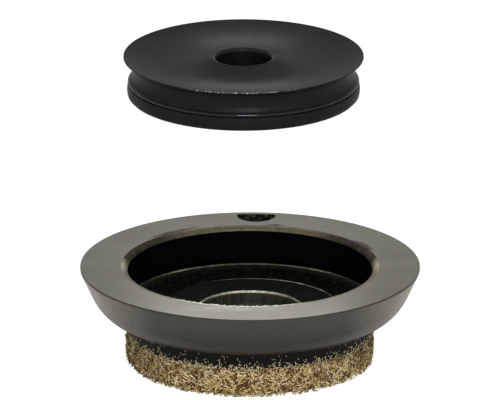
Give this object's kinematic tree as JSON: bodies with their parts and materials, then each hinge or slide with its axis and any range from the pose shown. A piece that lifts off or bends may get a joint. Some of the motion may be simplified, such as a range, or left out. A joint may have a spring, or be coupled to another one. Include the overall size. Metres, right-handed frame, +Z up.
{
  "type": "felt furniture glide",
  "caption": "Round click-on furniture glide: a plastic cup with a thick felt sole and a snap groove inside, beside the grooved, dished disc that is screwed to the leg and clicks into it.",
  "frame": {"origin": "centre of the felt's underside, on the floor", "axes": "+Z up, square to the felt; +Y from the cup towards the disc that lies beside it"},
  "size_m": [0.05, 0.1685, 0.0143],
  "materials": {
    "cup_plastic": "satin black moulded plastic",
    "felt": "mottled tan and brown needle felt",
    "disc_plastic": "satin black moulded plastic"
  },
  "bodies": {
    "root": {"felt_cup": "cup_plastic", "felt_pad": "felt", "leg_disc": "disc_plastic"}
  },
  "joints": []
}
